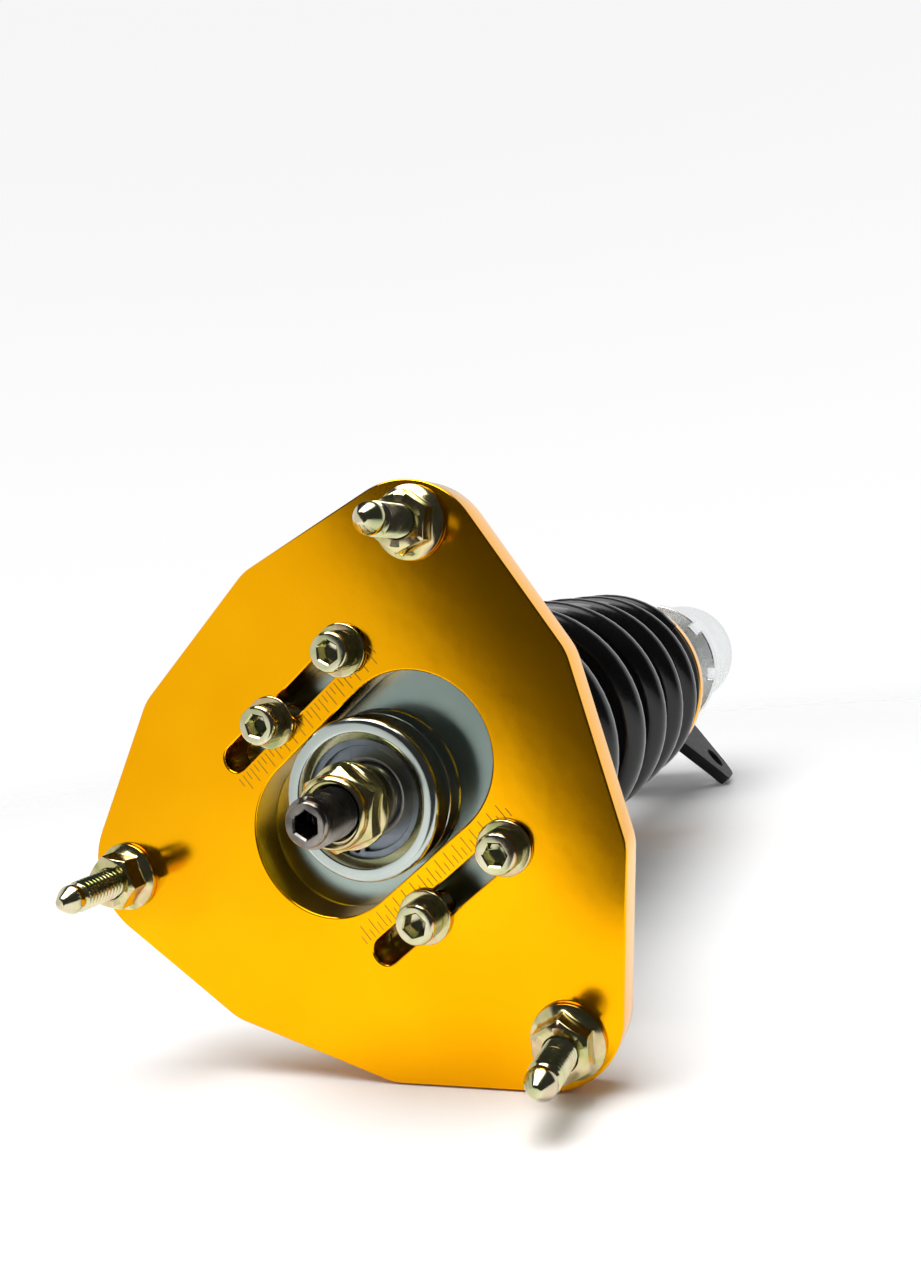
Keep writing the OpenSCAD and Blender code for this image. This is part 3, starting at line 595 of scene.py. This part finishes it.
arc = [(math.sqrt(LINER_R ** 2 - (z - BALL_Z) ** 2), z) for z in
       [1 - 12.5 * k / 24 for k in range(25)] if abs(z - BALL_Z) < LINER_R]
lathe("bearing_race", [(14.5, -11.5), (14.5, 0.6), (14.1, 1), (arc[0][0] + 0.5, 1)] + arc, 0, dark_steel,
      "camber_carrier", "bearing_race")
eyes = [polar(12.8, 182), polar(12.8, 218)]
snap = (outline_arc((0, 0), 15.4, 212, 548, 84) + outline_arc(eyes[0], 2.2, 232, 432, 16)
        + outline_arc((0, 0), 12.85, 173, -133, 76) + outline_arc(eyes[1], 2.2, -32, 168, 16))
slab("bearing_snap_ring", shift(snap, AXIS), [outline_arc(shift([at], AXIS)[0], 0.8, 0, 345,
                                                          23) for at in eyes],
     1.02, 2.38, 0.15, dark_steel, "camber_carrier", "bearing_snap_ring")
ball_arc = [(BALL_R * math.cos(math.asin(BALL_HALF * (k - 12) / 12 / BALL_R)),
             BALL_Z + BALL_HALF * (k - 12) / 12)
            for k in range(25)]
lathe("bearing_ball", [(6, BALL_Z - BALL_HALF)] + ball_arc + [(6, BALL_Z + BALL_HALF)], 0, bright_steel,
      "piston_rod", "bearing_ball")

# ---------- rod stack ----------

lathe("upper_spacer", [(6.02, 2.75), (8.6, 2.75), (8.6, 9.5), (6.02, 9.5)], [0, 0.3, 0.5, 0], zinc,
      "piston_rod",
      "upper_spacer")
lathe("lower_spacer", [(6.02, -27), (16, -27), (16, -24), (8.6, -22), (8.6, -13.25), (6.02, -13.25)],
      [0, 0.5, 0.6, 1.5, 0.3, 0], zinc, "piston_rod", "lower_spacer")
hex_nut("rod_nut", AXIS, 9.5, 18, 7.6, 10.5, 2, 6.0, zinc, "piston_rod", "rod_nut", clock=14,
        washer_rise=1.0, collar=(8.6, 10.5, 7.3, 1.6))

n = 96
rows = [[(r, z)] * n for r, z in ((2.45, -244), (5.4, -244), (5.95, -243.4), (5.95, -212.2), (6.1, -212),
                                  (9.6, -212),
                                  (10, -211.6))]
rod = bmesh.new()
rows += [[(10, -211.6 + (184.1) * k / 6)] * n for k in range(1, 7)]
rows += [[(r, z)] * n for r, z in ((9.6, -27.05), (6.1, -27), (5.98, -26.8), (5.98, 8.8))]
rows += thread_rows(9.0, 30.0, 5.96, 1.25, 0.85, n, lambda z: min(5.96, 5.2 + max(0, 30.0 - z) * 1.0))
rows += [[(r, z)] * n for r, z in ((5.15, 30.2), (5.0, 30.7), (4.75, 30.95), (4.5, 31.0))]
socket = hex_socket_rows(5.5, 31, 8, 20, n, 0.4)
rows += socket[:3] + [[(2.45, 22.7)] * n]
grid_rows(rod, rows, AXIS, True)
finish_piece("piston_rod", rod, rod_steel, "piston_rod", "piston_rod", sharp=30)
lathe("rod_chrome_sleeve", [(9.9, -211), (10.0, -211), (10.0, -28), (9.9, -28)], 0, rod_chrome, "piston_rod",
      ())

lobes = [(10.02, -91), (12.6, -91)]
radii = [0, 2.0]
for k in range(3):
    low = -91 + 14.2 * k
    lobes += [(15 + 2 * k, low + 2.5), (15 + 2 * k, low + 11.4), (12.8 + 1.3 * k, low + 14.2)]
    radii += [3.0, 3.0, 1.4]
lobes[-1] = (16, -48.4)
lathe("bump_stop", lobes + [(10.02, -48.4)], radii + [0], foam, "piston_rod", "bump_stop")

# ---------- upper seat, spring and boot ----------

lathe("upper_spring_seat",
      [(10.05, -31.8), (18.5, -31.8), (18.5, -37), (42, -39), (42, -45), (30.4, -45), (30.4, -52),
       (26.6, -52),
       (26.6, -60), (23.5, -60), (23.5, -48), (10.05, -46)],
      [0.2, 1, 2, 1.2, 0.8, 1.5, 1.2, 1.5, 0.5, 0.5, 2, 0.2], gold_turned, "spring_seat", "upper_spring_seat",
      n=192)


def smooth(x):
    t = max(0.0, min(1.0, x))
    return t * t * (3 - 2 * t)


def spring_line(turns=6, per_turn=60, wire=6.0, pitch_top=41.0, pitch_low=30.0, closed=0.9, bite=3.0,
                coil=37.0):
    def pitch(u):
        free = pitch_top + (pitch_low - pitch_top) * u / turns
        return 2 * wire + (free - 2 * wire) * smooth(u / closed) * smooth((turns - u) / closed)

    steps = turns * per_turn
    climb = [0.0]
    for i in range(steps):
        climb.append(climb[-1] + pitch((i + 0.5) * turns / steps))
    span = SPRING_BOTTOM - SPRING_TOP - 2 * bite
    return [(AXIS[0] + coil * math.cos(-TAU * i / per_turn), AXIS[1] + coil * math.sin(-TAU * i / per_turn),
             -SPRING_TOP - bite - climb[i] * span / climb[-1]) for i in range(steps + 1)]


spring = bmesh.new()
sweep(spring_line(), lambda t: 5.97 if 0.004 < t < 0.996 else 5.4, 28, spring)
for v in spring.verts:
    v.co.z = min(max(v.co.z, -(SPRING_BOTTOM - 0.02) * MM), -(SPRING_TOP + 0.02) * MM)
spring = finish_piece("coil_spring", spring, spring_paint, "spring_seat", "spring", sharp=40)
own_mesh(spring)

outside, inside = [(27.6, -52), (27.7, -60)], []
folds, steps = 15, 10
for i in range(folds * steps + 1):
    z = -60 - 152 * i / (folds * steps)
    swell = 0.5 - 0.5 * math.cos(TAU * i / steps)
    outside.append((27.75 + 2.4 * swell, z))
    inside.append((26.75 + 2.4 * swell, z))
boot = turned(outside + [(27.6, -212.02), (26.8, -212.02)] + inside[::-1] + [(26.7, -60), (26.7, -52)], 120)
boot = finish_piece("dust_boot", boot, rubber, "spring_seat", "dust_boot", sharp=50)
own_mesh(boot)

# ---------- damper body ----------

n = 144
rows = [[(r, z)] * n for r, z in ((22.52, -425), (25.2, -425), (25.95, -424.4), (25.95, -412.5),
                                  (24.9, -411.9))]
rows += thread_rows(-411.5, -194, 25.97, 2.0, 0.95, n, lambda z: min(25.97, 25.0 + max(0, -194 - z)))
rows += [[(r, z)] * n for r, z in ((24.9, -193.7), (24.9, -191.2), (25.95, -190.6), (25.95, -190.02),
                                   (22.52, -190.02))]
body = bmesh.new()
grid_rows(body, rows, AXIS, True)
finish_piece("damper_body", body, silver, "damper", "damper_body", sharp=30)
lathe("gland_nut", [(10.6, -188), (14.02, -188), (14.02, -184), (25.95, -184), (25.95, -190), (22.5, -190),
                    (22.5, -196),
                    (16.5, -196), (16.5, -191), (10.6, -191)],
      [0, 0, 0.4, 1.4, 0.3, 0, 0, 0, 0, 0], black_anodised, "damper", "gland_nut")
n = 72
rows = [[(0, -413)] * n, [(4, -413)] * n, [(4, -425)] * n, [(6.6, -425)] * n, [(7, -425.4)] * n,
        [(7, -427.3)] * n,
        [(6.4, -428)] * n]
rows += [[(flats(4, TAU * k / n) + grow, z) for k in range(n)] for grow,
         z in ((0.3, -428), (0, -427.7), (0, -424.2))]
rows += [[(0, -423.4)] * n]
valve = bmesh.new()
grid_rows(valve, rows, AXIS, False)
finish_piece("gas_valve_screw", valve, zinc, "damper", "gas_valve_screw", sharp=30)

# ---------- perch and lock rings ----------

lathe("slip_washer", [(30.6, -254), (40.5, -254), (40.5, -252), (30.6, -252)], [0.2, 0.6, 0.6, 0.2],
      black_nylon,
      "slip_washer", "spring_slip_washer", n=160)
lathe("perch_flange", [(26.05, -262), (41, -262), (41, -254), (30.4, -254), (30.4, -249), (26.05, -249)],
      [0, 0.9, 0.9, 0.8, 1.2, 0.3], gold_turned, "lower_perch", "lower_perch", n=192)
perch_hub = shift(ring_with_notches(34, 6, 8, 30.6), AXIS)
bore = [outline_arc(AXIS, 26.1, 0, 357, 119)]
slab("perch_hub", perch_hub, bore, -276, -261.9, 0.5, gold_turned, "lower_perch", "lower_perch")
lock_outline = shift(ring_with_notches(35, 6, 8, 31.6), AXIS)
slab("perch_lock_ring", lock_outline, bore, -286, -276.03, 0.6, silver, "perch_lock_ring", "perch_lock_ring")
slab("bracket_lock_ring", lock_outline, bore, -351.97, -342, 0.6, silver, "bracket_lock_ring",
     "bracket_lock_ring")

# ---------- lower bracket ----------

lathe("bracket_sleeve", [(26.05, -352), (30.5, -352), (30.5, -452), (21, -452), (21, -448), (26.05, -448)],
      [0.4, 0.8, 1.6, 0.5, 0.3, 1.5], silver, "lower_bracket", "bracket_sleeve", n=160)
ear = fillet([(17.4, -450), (17.4, -356), (38, -356), (68, -365), (74, -373), (74, -450)],
             [0, 0, 10, 8, 8, 9], 8)
ear_holes = [outline_arc((EAR_REACH, z), r, 0, 350, 35) for z, r in (UPPER_BOLT, LOWER_BOLT)]
for name, side in (("near", -1), ("far", 1)):
    place = Matrix(((-1, 0, 0, AXIS[0]), (0, 0, 1, AXIS[1] + side * 22.5), (0, 1, 0, 0), (0, 0, 0, 1)))
    slab(f"knuckle_ear_{name}", ear, ear_holes, -2.5, 2.5, 0.6, bracket_paint, "lower_bracket",
         "knuckle_ears",
         place=place)
    for wall, (u, w) in (("outer", (17.9, 25.9)), ("inner", (24.0, 19.2))):
        line = [(AXIS[0] - u, AXIS[1] + side * w, z) for z in (-449, -357)]
        weld(f"ear_weld_{name}_{wall}", line, 1.7, bracket_paint, "lower_bracket",
             seed=len(wall) + side)
    for hole, (z, r) in (("upper", UPPER_BOLT), ("lower", LOWER_BOLT)):
        boss = [(r, -0.35), (r + 4.2, -0.35), (r + 4.2, 0.35), (r, 0.35)]
        bm = turned(fillet(boss, [0.1, 0.2, 0.3, 0.15], 3), 72, (0, 0))
        turn = Matrix(((1, 0, 0, (AXIS[0] - EAR_REACH) * MM), (0, 0, -1, (AXIS[1] + side * 25.0) * MM),
                       (0, 1, 0, z * MM),
                       (0, 0, 0, 1)))
        bmesh.ops.transform(bm, matrix=turn, verts=bm.verts)
        finish_piece(f"ear_seat_{name}_{hole}", bm, bracket_paint, "lower_bracket", ())
web = outline_arc((0, 0), 30.3, 41, -41, 24) + [(38, -19.95), (38, 19.95)]
for name, z in (("upper", -364), ("lower", -444)):
    place = Matrix(((-1, 0, 0, AXIS[0]), (0, -1, 0, AXIS[1]), (0, 0, 1, z), (0, 0, 0, 1)))
    slab(f"ear_web_{name}", web, [], -2, 2, 0.5, bracket_paint, "lower_bracket", "ear_webs",
         place=place)
tab = outline_arc((45, 0), 10, -90, 90, 30) + [(28.2, 10), (28.2, -10)]
place = Matrix.Translation((AXIS[0], AXIS[1], -388.5)) @ Matrix.Rotation(math.radians(105), 4, "Z")
slab("brake_hose_tab", tab, [outline_arc((45, 0), 5.2, 0, 350, 35)], -1.5, 1.5, 0.4, bracket_paint,
     "lower_bracket",
     "brake_hose_tab", place=place)
hose = [polar(30.6, 105 + a) for a in (-18, -12, -6, 0, 6, 12, 18)]
for name, z in (("over", -386.4), ("under", -390.6)):
    weld(f"hose_tab_weld_{name}", [(AXIS[0] + x, AXIS[1] + y, z) for x, y in hose], 1.3, bracket_paint,
         "lower_bracket",
         seed=7)
link = fillet([(0, -425), (42, -416), (49, -412), (49, -393), (42, -389), (0, -355)], [0, 9, 9, 9, 9, 0], 8)
place = Matrix(((0, 0, -1, AXIS[0] - LINK_X), (-1, 0, 0, AXIS[1] - 25.02), (0, 1, 0, 0), (0, 0, 0, 1)))
slab("drop_link_tab", link, [outline_arc((35, -402.5), 6.1, 0, 350, 35)], -3, 3, 0.6, bracket_paint,
     "lower_bracket",
     "link_tab", place=place)
for name, x in (("a", -3.6), ("b", 3.6)):
    line = [(AXIS[0] - LINK_X + x, AXIS[1] - 25.7, z) for z in (-424, -356)]
    weld(f"drop_link_weld_{name}", line, 1.7, bracket_paint, "lower_bracket", seed=11)

# ---------- CAD nodes that stay, with better materials ----------

kept = {
    "race_liner": ptfe, "upper_thrust_washer": bright_steel,
    "lower_thrust_washer": bright_steel, "thrust_needles": bright_steel, "thrust_cage": brown_nylon,
    "damper_piston": silver, "piston_band": ptfe, "compression_shims": bright_steel,
    "rebound_shims": bright_steel,
    "piston_nut": bright_steel, "adjuster_needle": dark_steel, "rod_wiper": rubber, "rod_seal": rubber,
    "rod_guide": silver, "base_plug": silver, "floating_piston": silver, "floating_piston_ring": rubber,
}
for node_name, material in kept.items():
    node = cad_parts[node_name]
    node.data.materials.clear()
    node.data.materials.append(material)
    for slot in node.material_slots:
        slot.material = material

# ---------- floor, light and camera ----------

# The table leans a little, so that the strut lies on the plate's edge and on the tip of the drop-link tab
up = Vector((0.592, 0.806, -0.0078)).normalized()
side = Vector((0, 0, 1)).cross(up).normalized()
along = up.cross(side)
rest = Vector(polar(SIDE_REACH, 235) + (0.0,)) * MM
floor_mesh = bpy.data.meshes.new("table")
centre = rest - up * 0.0004
corners = [centre + side * a * 2.2 + along * b for a, b in ((-1, -2.6), (1, -2.6), (1, 2.0), (-1, 2.0))]
floor_mesh.from_pydata([tuple(c) for c in corners], [], [(0, 1, 2, 3)])
table = bpy.data.objects.new("table", floor_mesh)
bpy.context.scene.collection.objects.link(table)
m = Nodes("table_white")
m.put("Base Color", m.ramp(m.noise(3.0, 2.0), [(0.35, (0.90, 0.90, 0.90)), (0.65, (0.93, 0.93, 0.93))]))
m.fix(Roughness=0.5, Specular_IOR_Level=0.25)
side_of = m.new("ShaderNodeNewGeometry")
clear = m.new("ShaderNodeBsdfTransparent")
mixed = m.new("ShaderNodeMixShader")
reach = m.new("ShaderNodeVectorMath", operation="DISTANCE")
reach.inputs[1].default_value = centre + Vector((0, 0, -0.15))
m.link(m.coord.outputs["Object"], reach.inputs[0])
fade = m.new("ShaderNodeMath", operation="MAXIMUM")
front = m.new("ShaderNodeSeparateXYZ")
m.link(m.coord.outputs["Object"], front.inputs[0])
edge = m.new("ShaderNodeMath", operation="MAXIMUM")
m.link(m.span(reach.outputs["Value"], 0.0, 1.0, 0.22, 0.8), edge.inputs[0])
m.link(m.span(front.outputs["Z"], 0.0, 1.0, 0.10, 0.16), edge.inputs[1])
m.link(edge.outputs["Value"], fade.inputs[0])
m.link(side_of.outputs["Backfacing"], fade.inputs[1])
m.link(fade.outputs["Value"], mixed.inputs[0])
m.link(m.bsdf.outputs[0], mixed.inputs[1])
m.link(clear.outputs[0], mixed.inputs[2])
m.link(mixed.outputs[0], m.tree.nodes["Material Output"].inputs["Surface"])
floor_mesh.materials.append(m.mat)
if floor_mesh.polygons[0].normal.dot(up) < 0:
    floor_mesh.flip_normals()

world = bpy.data.worlds.new("studio")
bpy.context.scene.world = world
world.use_nodes = True
tree = world.node_tree
background = tree.nodes["Background"]
coord = tree.nodes.new("ShaderNodeTexCoord")


def direction_band(towards, low, high, dark, bright):
    """A soft band of brightness around one direction."""
    dot = tree.nodes.new("ShaderNodeVectorMath")
    dot.operation = "DOT_PRODUCT"
    dot.inputs[1].default_value = Vector(towards).normalized()
    tree.links.new(coord.outputs["Generated"], dot.inputs[0])
    band = tree.nodes.new("ShaderNodeMapRange")
    band.interpolation_type = "SMOOTHSTEP"
    for key, value in zip(("From Min", "From Max", "To Min", "To Max"), (low, high, dark, bright)):
        band.inputs[key].default_value = value
    tree.links.new(dot.outputs["Value"], band.inputs["Value"])
    return band.outputs["Result"]


def combine(operation, a, b):
    node = tree.nodes.new("ShaderNodeMath")
    node.operation = operation
    tree.links.new(a, node.inputs[0])
    tree.links.new(b, node.inputs[1])
    return node.outputs["Value"]


behind = direction_band((-0.15, 0.28, 0.95), -0.88, -0.5, 1.0, 0.04)
wall = combine("MULTIPLY", direction_band((-1, 0.16, 0), 0.33, 0.39, 0.0, 1.0),
               direction_band((0, -1, 0), -0.27, 0.02, 0.92, 1.5))
ceiling = direction_band(BENCH_UP, 0.86, 0.95, 0.0, 3.4)
room = combine("MAXIMUM", combine("MAXIMUM", behind, wall), ceiling)
path = tree.nodes.new("ShaderNodeLightPath")
choose = tree.nodes.new("ShaderNodeMix")
choose.data_type = "FLOAT"
tree.links.new(path.outputs["Is Camera Ray"], choose.inputs[0])
tree.links.new(room, choose.inputs[2])
tree.links.new(direction_band(BENCH_UP, 0.0, 0.5, 1.0, 0.925), choose.inputs[3])
background.inputs["Color"].default_value = (1.0, 1.0, 1.0, 1.0)
tree.links.new(choose.outputs[0], background.inputs["Strength"])


def softbox(name, at, target, size, power):
    """A white area light, placed and aimed in millimetres, with its size in metres and its power in watts."""
    light = bpy.data.lights.new(name, "AREA")
    light.shape = "RECTANGLE"
    light.size, light.size_y = size
    light.energy = power
    lamp = bpy.data.objects.new(name, light)
    lamp.location = Vector(at) * MM
    lamp.rotation_mode = "QUATERNION"
    lamp.rotation_quaternion = (Vector(target) - Vector(at)).to_track_quat("-Z", "Y")
    bpy.context.scene.collection.objects.link(lamp)


softbox("softbox_over", (350, 620, 150), (0, 0, -80), (0.6, 0.6), 5.5)

eye = Vector((126.149, -36.267, 230.049))
forward = Vector((-0.31043, 0.19836, -0.92967)).normalized()
right = forward.cross(Vector((0.66634, 0.74290, -0.06399))).normalized()
over = right.cross(forward)
camera = bpy.data.cameras.new("camera")
camera.lens, camera.sensor_width = 30.013, 36.0
camera.clip_start, camera.clip_end = 0.01, 20
cam = bpy.data.objects.new("camera", camera)
cam.matrix_world = Matrix(((right.x, over.x, -forward.x, eye.x * MM),
                           (right.y, over.y, -forward.y, eye.y * MM),
                           (right.z, over.z, -forward.z, eye.z * MM), (0, 0, 0, 1)))
bpy.context.scene.collection.objects.link(cam)
bpy.context.scene.camera = cam
bpy.context.scene.view_settings.view_transform = "Standard"
bpy.context.scene.view_settings.look = "None"
